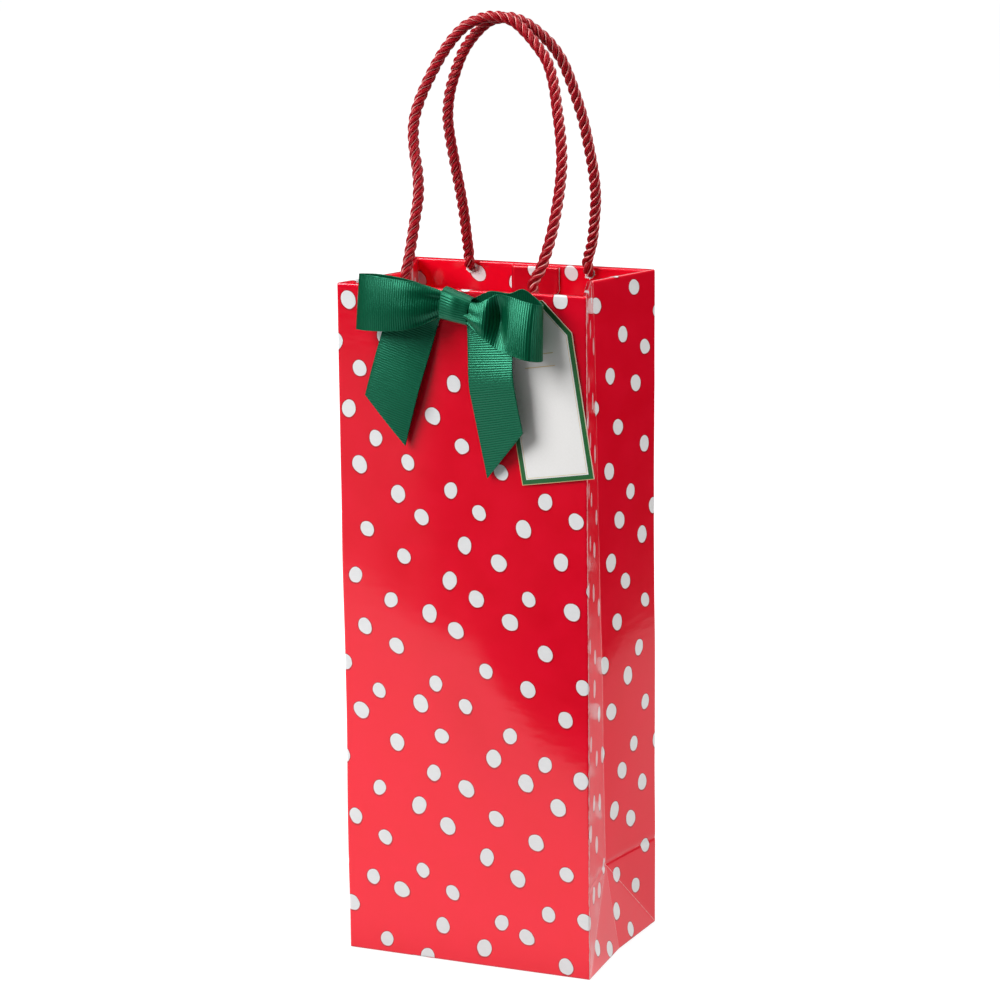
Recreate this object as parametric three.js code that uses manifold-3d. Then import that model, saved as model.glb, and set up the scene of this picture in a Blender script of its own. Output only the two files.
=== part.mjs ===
// A wine gift bag: one sheet of printed paper, folded and glued, with a turned-in top, two
// twisted rope handles, a ribbon bow and a card tag.
//
// Millimetres, +Z up. +X is to the right of the front and -Y points out of it. The origin is
// the middle of the base, on the surface that the bag stands on.
//
// The bag's paper is one sheet in real life. Here it is split at its creases, so that every
// panel between two folds is a solid of its own with a small clearance to the next one.

import * as THREE from 'three';
import { mergeVertices } from 'three/addons/utils/BufferGeometryUtils.js';
import Module from 'manifold-3d';

const wasm = await Module();
wasm.setup();

// The folded bag.
const WIDTH = 127;
const DEPTH = 89;
const HEIGHT = 330;
const HEM = 45; // how far the top is turned in
const PAPER = 0.4;
const GAP = 0.3; // clearance between neighbouring solids
const TOP_PUSH = 14.5; // how far a gusset's centre crease is pushed in at the top
const APEX_PUSH = 9.3; // and where it meets the diagonal creases above the base
const APEX_HEIGHT = 43;
const BASE_PUSH = 2.5; // and where it reaches the base
const BASE_FLAP = 60; // how far the front and rear flaps reach under the base
const SIDE_FLAP = 45;
const BASE_BOARD = 1;

// What the turned-in top holds, from the outer face inwards.
const TOP_BOARD = 0.6;
const TIP = 0.9; // thickness of the plastic bars on the ropes' ends
const HEM_DEPTH = 2 * PAPER + TOP_BOARD + TIP + 3 * GAP;
const HEM_HALF_WIDTH = WIDTH / 2 - HEM_DEPTH - 0.5;

// The handles.
const ROPE = 5.5; // diameter
const ROPE_EXIT_HEIGHT = 326.5;
const HINGE_HEIGHT = 334;
const HINGE_DEPTH = 38.2; // distance of each handle's hinge line from the bag's middle
const HOLE = 3.2; // diameter of the punched holes
const TIP_LENGTH = 12;
const STEM = 1.8;

// The ribbon and the tag.
const RIBBON = 0.5;
const RIBBON_WIDTH = 25.4;
const KNOT = { x: -0.4, z: 323, width: 15, height: 15.4, front: -54.5, back: -45.9 };
const TAG = { width: 36.4, height: 85, thickness: 0.4, cutX: 12, cutZ: 16.4, tilt: 9 };
const TAG_PIVOT = { x: 37, z: 319.6, fromTop: 7 };
const TAG_BACK = -(DEPTH / 2 + 3 * GAP + 0.1);

const OUTER = DEPTH / 2;
const vec = (x, y, z) => new THREE.Vector3(x, y, z);
const mix = THREE.MathUtils.lerp;

const finish = (color, roughness, metalness = 0) =>
  new THREE.MeshStandardMaterial({ color, roughness, metalness, side: THREE.DoubleSide });

const materials = {
  print: finish(0xc8102e, 0.32),
  card: finish(0xe9e6df, 0.85),
  rope: finish(0x8e0f1c, 0.5),
  ribbon: finish(0x0c6b45, 0.6),
  tag: finish(0xf6f4ee, 0.5),
  plastic: finish(0xe8e8e8, 0.35),
  glue: finish(0xe6dfc8, 0.45),
};

const bag = new THREE.Group();
bag.name = 'wine_gift_bag';

function add(name, geometry, material) {
  const mesh = new THREE.Mesh(geometry, material);
  mesh.name = name;
  bag.add(mesh);
  return mesh;
}

// ---------------------------------------------------------------------------------------
// Solids
// ---------------------------------------------------------------------------------------

/** A closed solid of even thickness around a mid-surface of points and triangles. */
function shell(points, faces, thickness) {
  const normals = points.map(() => vec(0, 0, 0));
  const edges = new Set();
  for (const face of faces) {
    const [a, b, c] = face.map((i) => points[i]);
    const normal = b.clone().sub(a).cross(c.clone().sub(a)).normalize();
    face.forEach((i) => normals[i].add(normal));
    face.forEach((i, k) => edges.add(`${i},${face[(k + 1) % 3]}`));
  }
  const offset = (side) =>
    points.map((p, i) => p.clone().addScaledVector(normals[i].normalize(), side * thickness / 2));
  const count = points.length;
  const index = [];
  for (const [a, b, c] of faces) {
    index.push(a, b, c);
    index.push(c + count, b + count, a + count);
  }
  for (const edge of edges) {
    const [a, b] = edge.split(',').map(Number);
    if (edges.has(`${b},${a}`)) continue;
    index.push(b, a, a + count);
    index.push(b, a + count, b + count);
  }
  const corners = [...offset(1), ...offset(-1)].flatMap((p) => p.toArray());
  const geometry = new THREE.BufferGeometry();
  geometry.setAttribute('position', new THREE.Float32BufferAttribute(corners, 3));
  geometry.setIndex(index);
  geometry.computeVertexNormals();
  return geometry;
}

/** The same, around a surface given as rows of points, each row as long as the others. */
function sheet(rows, thickness) {
  const columns = rows[0].length;
  const faces = [];
  for (let i = 0; i < rows.length - 1; i += 1) {
    for (let j = 0; j < columns - 1; j += 1) {
      const a = i * columns + j;
      const b = a + columns;
      faces.push([a, b, b + 1]);
      faces.push([a, b + 1, a + 1]);
    }
  }
  return shell(rows.flat(), faces, thickness);
}

/** A flat plate with the given outline in X and Y, from height z up. */
function plate(outline, thickness, z) {
  const shape = new THREE.Shape(outline.map(([x, y]) => new THREE.Vector2(x, y)));
  const geometry = new THREE.ExtrudeGeometry(shape, { depth: thickness, bevelEnabled: false });
  return geometry.translate(0, 0, z);
}

/** An upright plate with the given outline in X and Z, from depth y towards +Y. */
function uprightPlate(outline, thickness, y) {
  const geometry = plate(outline, thickness, 0);
  return geometry.rotateX(Math.PI / 2).translate(0, y + thickness, 0);
}

function box(xRange, yRange, zRange) {
  const sides = [xRange, yRange, zRange];
  const geometry = new THREE.BoxGeometry(...sides.map(([low, high]) => high - low));
  return geometry.translate(...sides.map(([low, high]) => (low + high) / 2));
}

function toManifold(geometry) {
  const bare = geometry.clone();
  bare.deleteAttribute('normal');
  bare.deleteAttribute('uv');
  const merged = mergeVertices(bare, 1e-4);
  return new wasm.Manifold(new wasm.Mesh({
    numProp: 3,
    vertProperties: new Float32Array(merged.attributes.position.array),
    triVerts: new Uint32Array(merged.index.array),
  }));
}

function fromManifold(solid) {
  const mesh = solid.getMesh();
  const geometry = new THREE.BufferGeometry();
  geometry.setAttribute('position', new THREE.BufferAttribute(mesh.vertProperties, 3));
  geometry.setIndex(new THREE.BufferAttribute(mesh.triVerts, 1));
  geometry.computeVertexNormals();
  return geometry;
}

// ---------------------------------------------------------------------------------------
// The paper bag
// ---------------------------------------------------------------------------------------

/**
 * The wall's section: up the outside, over the fold and down inside, as height and depth.
 * wallSteps and hemSteps say how many rows the two straight stretches are cut into.
 */
function wallProfile(startHeight, wallSteps = 1, hemSteps = 1) {
  const radius = (HEM_DEPTH - PAPER) / 2;
  const foldHeight = HEIGHT - PAPER / 2 - radius;
  const foldSteps = 8;
  const profile = [];
  for (let i = 0; i < wallSteps; i += 1) {
    profile.push({ z: mix(startHeight, foldHeight, i / wallSteps), depth: PAPER / 2, turned: 0 });
  }
  for (let i = 0; i <= foldSteps; i += 1) {
    const angle = Math.PI * i / foldSteps;
    profile.push({
      z: foldHeight + radius * Math.sin(angle),
      depth: PAPER / 2 + radius * (1 - Math.cos(angle)),
      turned: (1 - Math.cos(angle)) / 2,
    });
  }
  for (let i = 1; i <= hemSteps; i += 1) {
    const z = mix(foldHeight, HEIGHT - HEM, i / hemSteps);
    profile.push({ z, depth: HEM_DEPTH - PAPER / 2, turned: 1 });
  }
  return profile;
}

/** The front (side -1) or rear (side 1) panel with its hem, punched for the two ropes. */
function panel(side, ropeX) {
  const rows = wallProfile(0).map(({ z, depth, turned }) => {
    const half = mix(WIDTH / 2, HEM_HALF_WIDTH, turned);
    const y = side * (OUTER - depth);
    return [vec(-half, y, z), vec(half, y, z)];
  });
  let solid = toManifold(sheet(rows, PAPER));
  for (const x of ropeX) {
    const punch = new THREE.CylinderGeometry(HOLE / 2, HOLE / 2, 2, 16);
    punch.translate(x, side * (OUTER - HEM_DEPTH + PAPER / 2), ROPE_EXIT_HEIGHT);
    solid = solid.subtract(toManifold(punch));
  }
  return fromManifold(solid);
}

/** How far a gusset is pushed in at its centre crease, at a height above the apex. */
const pushAt = (z) => mix(APEX_PUSH, TOP_PUSH, (z - APEX_HEIGHT) / (HEIGHT - APEX_HEIGHT));

/** A point in a gusset's thickness. side is -1 left or 1 right, y runs along the depth. */
function gussetPoint(side, y, z, depth) {
  const push = pushAt(z);
  const slant = Math.hypot(push, OUTER) / OUTER;
  return vec(side * (WIDTH / 2 - push * (1 - Math.abs(y) / OUTER) - depth * slant), y, z);
}

/** Half of a gusset with its hem: half is -1 for the front half or 1 for the rear one. */
function gussetHalf(side, half) {
  const columns = 5;
  const creaseDrop = OUTER - APEX_HEIGHT;
  const rows = wallProfile(OUTER + GAP, 8, 2).map(({ z, depth, turned }, i) => {
    const edge = OUTER - mix(PAPER + GAP, HEM_DEPTH + 2 * GAP, turned);
    const row = [];
    for (let j = 0; j < columns; j += 1) {
      const across = j / (columns - 1);
      const y = half * mix(edge, GAP / 2, across);
      const height = i === 0 ? z - creaseDrop * across : z;
      row.push(gussetPoint(side, y, height, depth));
    }
    return row;
  });
  return sheet(rows, PAPER);
}

/** The gusset's foot: the facets between the base, the apex and the horizontal crease. */
function gussetFoot(side) {
  const x = WIDTH / 2 - PAPER / 2;
  const y = OUTER - PAPER - GAP;
  const lift = 0.1;
  const front = vec(side * x, -y, lift);
  const rear = vec(side * x, y, lift);
  const middle = vec(side * (x - BASE_PUSH), 0, lift);
  const apex = vec(side * (x - APEX_PUSH), 0, APEX_HEIGHT);
  const frontTop = vec(side * x, -y, OUTER);
  const rearTop = vec(side * x, y, OUTER);
  const points = [front, rear, middle, apex, frontTop, rearTop];
  const faces = [[0, 2, 3], [2, 1, 3], [1, 5, 3], [0, 3, 4]];
  return shell(points, faces, PAPER);
}

/** A trapezoid flap under the base, hinged on one edge of the bag. */
function baseFlap(halfWidth, edge, reach, corner) {
  const tip = edge - Math.sign(edge) * reach;
  return [[-halfWidth, edge], [halfWidth, edge], [halfWidth - corner, tip], [corner - halfWidth, tip]];
}

const FRONT_ROPE_X = [-30.3, 34.5];
const REAR_ROPE_X = [-31.5, 31];

function makePaperBag() {
  add('front_panel', panel(-1, FRONT_ROPE_X), materials.print);
  add('rear_panel', panel(1, REAR_ROPE_X), materials.print);
  for (const [side, name] of [[-1, 'left'], [1, 'right']]) {
    add(`${name}_gusset_front`, gussetHalf(side, -1), materials.print);
    add(`${name}_gusset_rear`, gussetHalf(side, 1), materials.print);
    add(`${name}_gusset_foot`, gussetFoot(side), materials.print);
  }

  const halfWidth = WIDTH / 2 - BASE_PUSH - PAPER - 2 * GAP;
  const edge = OUTER - PAPER - GAP;
  const layer = PAPER + GAP;
  const swap = ([x, y]) => [y, x];
  const side = baseFlap(edge, halfWidth, SIDE_FLAP, 18);
  add('base_flap_rear', plate(baseFlap(halfWidth, edge, BASE_FLAP, 14), PAPER, 0), materials.print);
  add('base_flap_front', plate(baseFlap(halfWidth, -edge, BASE_FLAP, 14), PAPER, layer), materials.print);
  add('base_flap_right', plate(side.map(swap), PAPER, 2 * layer), materials.print);
  add('base_flap_left', plate(side.map(swap).map(([x, y]) => [-x, y]), PAPER, 2 * layer), materials.print);
  makeBaseBoard(halfWidth - GAP, edge - GAP, 3 * layer);
  makeSeamFlap();
  makeHemPatch();
}

/** The loose card that keeps the base flat, with rounded corners. */
function makeBaseBoard(halfWidth, halfDepth, z) {
  const corner = 3;
  const steps = 4;
  const outline = [];
  for (const [sx, sy, turn] of [[1, 1, 0], [-1, 1, 1], [-1, -1, 2], [1, -1, 3]]) {
    for (let i = 0; i <= steps; i += 1) {
      const angle = Math.PI / 2 * (turn + i / steps);
      const x = sx * (halfWidth - corner) + corner * Math.cos(angle);
      const y = sy * (halfDepth - corner) + corner * Math.sin(angle);
      outline.push([x, y]);
    }
  }
  add('base_board', plate(outline, BASE_BOARD, z), materials.card);
}

/** The strip that closes the sheet into a tube, glued inside the left gusset's rear half. */
function makeSeamFlap() {
  const width = 15;
  const depth = PAPER + GAP + PAPER / 2;
  const nearEdge = OUTER - 2;
  const low = APEX_HEIGHT + 8;
  const high = HEIGHT - HEM - 2;
  const steps = 8;
  const rows = [];
  for (let i = 0; i <= steps; i += 1) {
    const z = mix(low, high, i / steps);
    rows.push([nearEdge, nearEdge - width].map((y) => gussetPoint(-1, y, z, depth)));
  }
  add('side_seam_flap', sheet(rows, PAPER), materials.print);
}

/** The lap of printed paper on the rear hem, between the two ropes. */
function makeHemPatch() {
  const left = -10;
  const right = 15.4;
  const bottom = HEIGHT - 15;
  const top = HEIGHT - 2;
  const corner = 3;
  const steps = 4;
  const outline = [[left, top], [left, bottom]];
  for (let i = 0; i <= steps; i += 1) {
    const angle = Math.PI / 2 * (i / steps - 1);
    const x = right - corner + corner * Math.cos(angle);
    outline.push([x, bottom + corner + corner * Math.sin(angle)]);
  }
  outline.push([right, top]);
  const y = OUTER - HEM_DEPTH - GAP - PAPER;
  add('rear_hem_patch', uprightPlate(outline, PAPER, y), materials.print);
}

/** The card stiffeners inside the front and rear hems. */
function makeTopBoards() {
  const half = HEM_HALF_WIDTH - 1;
  const near = OUTER - PAPER - GAP;
  const far = near - TOP_BOARD;
  const heights = [HEIGHT - HEM + 2, HEIGHT - HEM_DEPTH / 2 - 0.4];
  add('front_top_board', box([-half, half], [-near, -far], heights), materials.card);
  add('rear_top_board', box([-half, half], [far, near], heights), materials.card);
}

// ---------------------------------------------------------------------------------------
// The rope handles
// ---------------------------------------------------------------------------------------

const FRONT_ROUTE = [
  [-30.3, -38.2, 334], [-29.6, -34.3, 345], [-28.9, -30, 359], [-28.5, -26.5, 370],
  [-30, -23.5, 381], [-33, -20.4, 391], [-34.6, -17.3, 402], [-33.3, -14.2, 412],
  [-29, -10.7, 424], [-22.5, -6.9, 437], [-14.4, -4.2, 447], [-6.3, -3.1, 451.3],
  [1.4, -3.1, 452.7], [10, -3.1, 451], [17, -4.2, 446.2], [24, -6.1, 439.6],
  [30, -8.3, 432.5], [34.2, -11.1, 422.6], [37.1, -14.3, 411.7], [40, -17.7, 400.5],
  [42, -21, 389.5], [42.5, -24.3, 378.3], [41.8, -28, 365.5], [40.3, -31.5, 353.5],
  [37.5, -35.6, 341], [34.5, -38.2, 334],
];

const REAR_ROUTE = [
  [-31.5, 38.2, 334], [-31, 35, 342], [-30.8, 32, 352], [-31, 28.6, 363.5],
  [-31.6, 25.3, 374.5], [-32.3, 22, 386], [-32.6, 19, 396], [-32, 16.5, 404],
  [-29.5, 13.5, 414.5], [-25.5, 10.8, 424], [-21, 8.1, 432.6], [-16, 6.1, 439.5],
  [-10, 4.3, 445.5], [-3.7, 3.3, 450], [4, 3.1, 451.8], [9.5, 3.1, 451.2],
  [15, 3.5, 449], [21, 4.6, 444.5], [25.5, 6, 440], [30, 8, 433],
  [33, 10.5, 424.5], [35.5, 13.7, 414], [37.5, 16.7, 403.8], [38.8, 20.5, 391],
  [39.7, 24.5, 377.5], [39.3, 28, 365.5], [37.5, 31, 355], [34.8, 34.5, 343],
  [31, 38.2, 334],
];

/** A rope handle: a tube along its route, with a ball end on the hinge line at each side. */
function handle(route) {
  const radius = ROPE / 2;
  const curve = new THREE.CatmullRomCurve3(route.map((p) => vec(...p)), false, 'centripetal');
  const section = new THREE.Shape().absarc(0, 0, radius, 0, 2 * Math.PI, false);
  const settings = { steps: 50, curveSegments: 5, extrudePath: curve, bevelEnabled: false };
  let solid = toManifold(new THREE.ExtrudeGeometry(section, settings));
  for (const end of [route[0], route[route.length - 1]]) {
    const ball = new THREE.SphereGeometry(radius, 12, 8).translate(...end);
    solid = solid.add(toManifold(ball));
  }
  return fromManifold(solid);
}

/** The short stretch of rope between its hole in the hem and the handle's hinge line. */
function ropeRoot(side, x) {
  const bottom = ROPE_EXIT_HEIGHT - 2.5;
  const top = HINGE_HEIGHT - ROPE / 2 - GAP;
  const geometry = new THREE.CylinderGeometry(ROPE / 2, ROPE / 2, top - bottom, 12);
  return geometry.rotateX(Math.PI / 2).translate(x, side * HINGE_DEPTH, (top + bottom) / 2);
}

/** The T-shaped plastic end behind the hem: its stem passes through the punched hole. */
function ropeTip(side, x) {
  const back = OUTER - PAPER - TOP_BOARD - 2 * GAP;
  const front = back - TIP;
  const stemEnd = HINGE_DEPTH + ROPE / 2 + GAP;
  const halfBar = TIP_LENGTH / 2;
  const halfStem = STEM / 2;
  const outline = [
    [-halfBar, back], [-halfBar, front], [-halfStem, front], [-halfStem, stemEnd],
    [halfStem, stemEnd], [halfStem, front], [halfBar, front], [halfBar, back],
  ];
  const placed = outline.map(([along, y]) => [x + along, side * y]);
  return plate(placed, STEM, ROPE_EXIT_HEIGHT - halfStem);
}

function makeHandles() {
  const handles = [
    ['front', -1, FRONT_ROUTE, FRONT_ROPE_X],
    ['rear', 1, REAR_ROUTE, REAR_ROPE_X],
  ];
  for (const [name, side, route, ropeX] of handles) {
    add(`${name}_handle`, handle(route), materials.rope);
    ['left', 'right'].forEach((end, i) => {
      add(`${name}_handle_root_${end}`, ropeRoot(side, ropeX[i]), materials.rope);
      add(`${name}_handle_tip_${end}`, ropeTip(side, ropeX[i]), materials.plastic);
    });
  }
}

// ---------------------------------------------------------------------------------------
// The bow
// ---------------------------------------------------------------------------------------

/** The ribbon's band around the middle of the bow: a flat ring, open to the left and right. */
function knotBand() {
  const ring = (inset) => {
    const corner = 3 - inset;
    const low = { y: KNOT.front + inset, z: KNOT.z - KNOT.height / 2 + inset };
    const high = { y: KNOT.back - inset, z: KNOT.z + KNOT.height / 2 - inset };
    const path = inset > 0 ? new THREE.Path() : new THREE.Shape();
    path.absarc(high.y - corner, high.z - corner, corner, 0, Math.PI / 2);
    path.absarc(low.y + corner, high.z - corner, corner, Math.PI / 2, Math.PI);
    path.absarc(low.y + corner, low.z + corner, corner, Math.PI, 1.5 * Math.PI);
    path.absarc(high.y - corner, low.z + corner, corner, 1.5 * Math.PI, 2 * Math.PI);
    return path;
  };
  const shape = ring(0);
  shape.holes.push(ring(RIBBON));
  const settings = { depth: KNOT.width, curveSegments: 5, bevelEnabled: false };
  const geometry = new THREE.ExtrudeGeometry(shape, settings);
  const toRow = new THREE.Matrix4().makeBasis(vec(0, 1, 0), vec(0, 0, 1), vec(1, 0, 0));
  return geometry.applyMatrix4(toRow).translate(KNOT.x - KNOT.width / 2, 0, 0);
}

// Each loop runs from the knot along its front layer to the tip and back behind it. Every
// station is distance from the knot, depth, height of the ribbon's middle, and its width.
const LEFT_LOOP = [
  [1, -52.2, 323, 11], [8, -53.2, 323, 13], [16, -56.2, 323, 20], [28, -57.8, 323, 24.6],
  [40, -56.5, 323, RIBBON_WIDTH], [46.5, -54.2, 323, RIBBON_WIDTH],
  [49.2, -51.6, 323, RIBBON_WIDTH], [46.8, -49.4, 323, RIBBON_WIDTH],
  [38, -48.6, 323, RIBBON_WIDTH], [22, -48.4, 323, 23], [9, -48.6, 323, 13], [1, -48.8, 323, 11],
];
const RIGHT_LOOP = [
  [1, -52.2, 323, 11], [8, -53.2, 322.6, 13], [15, -57, 321.2, 21], [24, -58.3, 319, 25],
  [34, -57, 316.6, RIBBON_WIDTH], [41, -54, 314.6, RIBBON_WIDTH],
  [44.2, -51.4, 313.8, RIBBON_WIDTH], [41.5, -49.3, 314.6, RIBBON_WIDTH],
  [32, -48.7, 317.4, RIBBON_WIDTH], [20, -48.5, 320.4, 24], [9, -48.6, 322.5, 13],
  [1, -48.8, 323, 11],
];

function bowLoop(side, stations) {
  const spline = new THREE.CatmullRomCurve3(stations.map(([x, y, z]) => vec(side * x, y, z)));
  const count = 3 * (stations.length - 1);
  const rows = [];
  for (let i = 0; i <= count; i += 1) {
    const at = i / 3;
    const k = Math.min(Math.floor(at), stations.length - 2);
    const half = mix(stations[k][3], stations[k + 1][3], at - k) / 2;
    const middle = spline.getPoint(i / count);
    rows.push([middle.clone().setZ(middle.z - half), middle.clone().setZ(middle.z + half)]);
  }
  return sheet(rows, RIBBON);
}

// The tails' edges as [x, z]. A tail hangs from its hinge line; its root runs up from there,
// behind the loop, into the knot.
const LEFT_TAIL = { hinge: 308.3, y: -47, start: [-38.9, -11], end: [[-47.3, 277.2], [-27.5, 254]] };
const RIGHT_TAIL = { hinge: 299.3, y: -47, start: [6.5, 28], end: [[14, 242], [32.7, 265.7]] };
const LEFT_ROOT = {
  inner: [[-2.3, 318.5], [-8.9, 317.5], [-9.8, 313], [-11, 308.8]],
  outer: [[-2.3, 327.5], [-14, 326], [-30, 318.5], [-38.9, 308.8]],
};
const RIGHT_ROOT = {
  inner: [[1.5, 318.5], [7.9, 317.5], [8.1, 313], [7.2, 306], [6.5, 299.8]],
  outer: [[1.5, 327.5], [12, 326], [22, 320], [27, 311], [28, 299.8]],
};

function bowTail({ hinge, y, start, end }) {
  const steps = 10;
  const belly = 2;
  const top = hinge - GAP;
  const rows = [];
  for (let i = 0; i <= steps; i += 1) {
    const t = i / steps;
    const depth = y - belly * Math.sin(Math.PI * t);
    rows.push(end.map(([x, z], k) => vec(mix(start[k], x, t), depth, mix(top, z, t))));
  }
  return sheet(rows, RIBBON);
}

function bowRoot({ inner, outer }, y) {
  const rows = inner.map(([x, z], i) => [vec(x, y, z), vec(outer[i][0], y, outer[i][1])]);
  return sheet(rows, RIBBON);
}

function makeBow() {
  add('bow_knot', knotBand(), materials.ribbon);
  add('bow_loop_left', bowLoop(-1, LEFT_LOOP), materials.ribbon);
  add('bow_loop_right', bowLoop(1, RIGHT_LOOP), materials.ribbon);
  add('bow_tail_root_left', bowRoot(LEFT_ROOT, LEFT_TAIL.y), materials.ribbon);
  add('bow_tail_root_right', bowRoot(RIGHT_ROOT, RIGHT_TAIL.y), materials.ribbon);
  add('bow_tail_left', bowTail(LEFT_TAIL), materials.ribbon);
  add('bow_tail_right', bowTail(RIGHT_TAIL), materials.ribbon);
  const pad = 5;
  const depth = [KNOT.back + GAP, -OUTER - GAP];
  add('bow_glue_pad', box([KNOT.x - pad, KNOT.x + pad], depth, [KNOT.z - pad, KNOT.z + pad]), materials.glue);
}

// ---------------------------------------------------------------------------------------
// The tag
// ---------------------------------------------------------------------------------------

function makeTag() {
  const { width, height, thickness, cutX, cutZ, tilt } = TAG;
  const half = width / 2;
  const top = TAG_PIVOT.fromTop;
  const bottom = top - height;
  const outline = [
    [-half, bottom], [half, bottom], [half, top - cutZ], [half - cutX, top],
    [cutX - half, top], [-half, top - cutZ],
  ];
  const card = add('tag_card', uprightPlate(outline, thickness, 0), materials.tag);
  card.position.set(TAG_PIVOT.x, TAG_BACK - thickness, TAG_PIVOT.z);
  card.rotation.y = THREE.MathUtils.degToRad(-tilt);

  const dotHeight = -OUTER - GAP - (TAG_BACK + GAP);
  const dot = add('tag_glue_dot', new THREE.CylinderGeometry(4, 4, dotHeight, 20), materials.glue);
  dot.position.set(TAG_PIVOT.x, -OUTER - GAP - dotHeight / 2, TAG_PIVOT.z);
}

makePaperBag();
makeTopBoards();
makeHandles();
makeBow();
makeTag();

export default bag;
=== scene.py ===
"""A wine gift bag of dotted paper with rope handles, a ribbon bow and a card tag.

Millimetres are used for all shapes below and turned into metres when a mesh is made.
+X is to the right of the front, -Y points out of the front, +Z is up.
"""
import math
import random

import bmesh
import bpy
import numpy as np
from mathutils import Matrix, Vector, noise


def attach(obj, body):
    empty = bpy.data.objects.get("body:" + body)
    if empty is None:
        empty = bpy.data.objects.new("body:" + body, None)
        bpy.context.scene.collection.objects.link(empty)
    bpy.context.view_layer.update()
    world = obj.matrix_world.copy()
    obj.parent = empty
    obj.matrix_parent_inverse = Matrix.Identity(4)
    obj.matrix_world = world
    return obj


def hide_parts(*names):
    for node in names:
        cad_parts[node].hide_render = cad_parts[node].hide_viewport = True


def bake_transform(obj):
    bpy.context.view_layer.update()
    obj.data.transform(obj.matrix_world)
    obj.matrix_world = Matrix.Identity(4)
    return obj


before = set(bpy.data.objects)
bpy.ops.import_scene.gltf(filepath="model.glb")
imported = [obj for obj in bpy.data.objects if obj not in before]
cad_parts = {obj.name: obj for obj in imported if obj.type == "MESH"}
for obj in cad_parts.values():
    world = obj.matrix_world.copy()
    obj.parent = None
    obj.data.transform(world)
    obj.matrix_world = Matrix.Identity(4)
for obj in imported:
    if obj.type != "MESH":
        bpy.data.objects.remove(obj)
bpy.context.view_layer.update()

MM = 0.001

# The folded bag, as in the CAD.
WIDTH = 127
DEPTH = 89
HEIGHT = 330
HEM = 45
HALF_WIDTH = WIDTH / 2
HALF_DEPTH = DEPTH / 2
TOP_PUSH = 14.5
APEX_PUSH = 9.3
APEX_HEIGHT = 43
BASE_PUSH = 2.5
PAPER = 0.36
SKIN = PAPER / 2  # from the outer face to the middle of the paper
HEM_INSET = 3.0  # the same for the paper turned in at the top

# ---- Camera ----


def make_camera():
    """The photograph's viewpoint. These numbers are the result of the camera fit."""
    azimuth = math.radians(23.267)
    elevation = math.radians(12.604)
    roll = math.radians(-0.606)
    distance = 1.6255
    target = Vector((0.00015, 0, 0.22078))
    back = Vector((
        math.sin(azimuth) * math.cos(elevation),
        -math.cos(azimuth) * math.cos(elevation),
        math.sin(elevation),
    ))
    level_right = (-back).cross(Vector((0, 0, 1))).normalized()
    level_up = level_right.cross(-back)
    right = math.cos(roll) * level_right + math.sin(roll) * level_up
    up = math.cos(roll) * level_up - math.sin(roll) * level_right
    data = bpy.data.cameras.new("camera")
    data.sensor_width = 36
    data.lens = 121.33
    data.clip_end = 60
    camera = bpy.data.objects.new("camera", data)
    bpy.context.collection.objects.link(camera)
    turn = Matrix((right, up, back)).transposed().to_4x4()
    camera.matrix_world = Matrix.Translation(target + back * distance) @ turn
    bpy.context.scene.camera = camera


make_camera()

# ---- Shaders ----


class Shader:
    """A material with one Principled surface, and short ways to add nodes to it."""

    def __init__(self, name, **inputs):
        self.material = bpy.data.materials.new(name)
        self.material.use_nodes = True
        self.tree = self.material.node_tree
        self.surface = self.tree.nodes["Principled BSDF"]
        self.look(**inputs)

    def look(self, **inputs):
        """Sets inputs of the surface, with _ for a space, and gives back the material."""
        for key, value in inputs.items():
            self.set(self.surface, key.replace("_", " "), value)
        return self.material

    def set(self, node, key, value):
        socket = node.inputs[key]
        if isinstance(value, bpy.types.NodeSocket):
            self.tree.links.new(value, socket)
        elif socket.type == "RGBA":
            socket.default_value = (*value, 1)
        else:
            socket.default_value = value

    def node(self, kind, inputs, **settings):
        node = self.tree.nodes.new(kind)
        for key, value in settings.items():
            setattr(node, key, value)
        for key, value in inputs.items():
            self.set(node, key, value)
        return node

    def uv(self):
        return self.node("ShaderNodeUVMap", {}, uv_map="flat").outputs[0]

    def place(self):
        return self.node("ShaderNodeTexCoord", {}).outputs["Object"]

    def value(self, name):
        return self.node("ShaderNodeAttribute", {}, attribute_name=name).outputs["Fac"]

    def math(self, operation, a, b=0.0, c=0.0):
        return self.node("ShaderNodeMath", {0: a, 1: b, 2: c}, operation=operation).outputs[0]

    def times(self, a, b):
        return self.math("MULTIPLY", a, b)

    def plus(self, a, b):
        return self.math("ADD", a, b)

    def minus(self, a, b):
        return self.math("SUBTRACT", a, b)

    def vector(self, operation, a, b):
        node = self.node("ShaderNodeVectorMath", {0: a, 1: b}, operation=operation)
        return node.outputs["Value" if operation in ("LENGTH", "DOT_PRODUCT") else "Vector"]

    def axis(self, vector, name):
        return self.node("ShaderNodeSeparateXYZ", {0: vector}).outputs[name]

    def stretch(self, vector, scale, turn=0.0):
        inputs = {"Vector": vector, "Scale": scale, "Rotation": (0, 0, math.radians(turn))}
        return self.node("ShaderNodeMapping", inputs).outputs[0]

    def noise(self, vector, scale, detail=2.0, roughness=0.5):
        inputs = {"Vector": vector, "Scale": scale, "Detail": detail, "Roughness": roughness}
        return self.node("ShaderNodeTexNoise", inputs).outputs[0]

    def ramp(self, value, low, high, start=0.0, end=1.0):
        inputs = {"Value": value, "From Min": low, "From Max": high, "To Min": start, "To Max": end}
        return self.node("ShaderNodeMapRange", inputs, interpolation_type="SMOOTHSTEP").outputs[0]

    def mix(self, factor, a, b):
        return self.node("ShaderNodeMix", {0: factor, 6: a, 7: b}, data_type="RGBA").outputs[2]

    def bump(self, height, distance, strength):
        inputs = {"Height": height, "Distance": distance, "Strength": strength}
        return self.node("ShaderNodeBump", inputs).outputs[0]


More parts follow.
